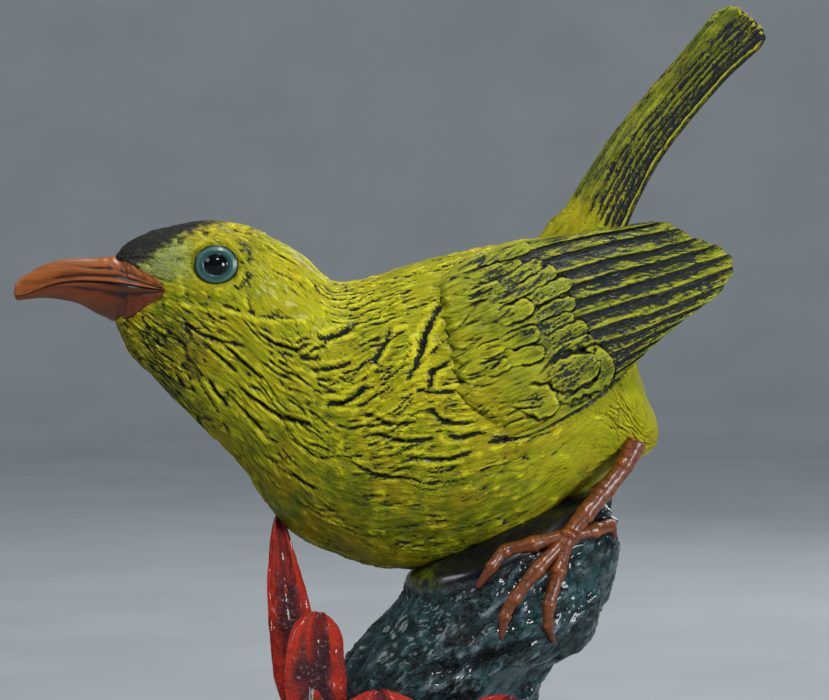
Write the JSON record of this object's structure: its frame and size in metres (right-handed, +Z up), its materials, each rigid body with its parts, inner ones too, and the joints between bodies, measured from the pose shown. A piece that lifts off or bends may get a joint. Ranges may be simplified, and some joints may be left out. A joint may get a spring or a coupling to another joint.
{
  "type": "painted bronze bird sculpture",
  "caption": "Cold-painted cast bronze songbird with a curved bill and cocked tail, crouched on a leaning stump with a red flower, on a low base.",
  "frame": {"origin": "on the ground, under the middle of the base", "axes": "+Z up, -X towards the tip of the bill, -Y towards the side with the flower"},
  "size_m": [0.1861, 0.108, 0.2586],
  "materials": {
    "plumage_paint": "semi-gloss lacquer over yellow-green and dark wash",
    "bark_patina": "satin blue-black patina, dry-brushed pale on the ridges",
    "petal_paint": "glossy red lacquer darkening to maroon",
    "horn_paint": "glossy orange-brown, on the bill, legs and toes",
    "eye_paint": "high gloss black in a teal ring"
  },
  "bodies": {
    "root": {"bird": "plumage_paint", "tree_stump": "bark_patina", "red_flower": "petal_paint"}
  },
  "joints": []
}
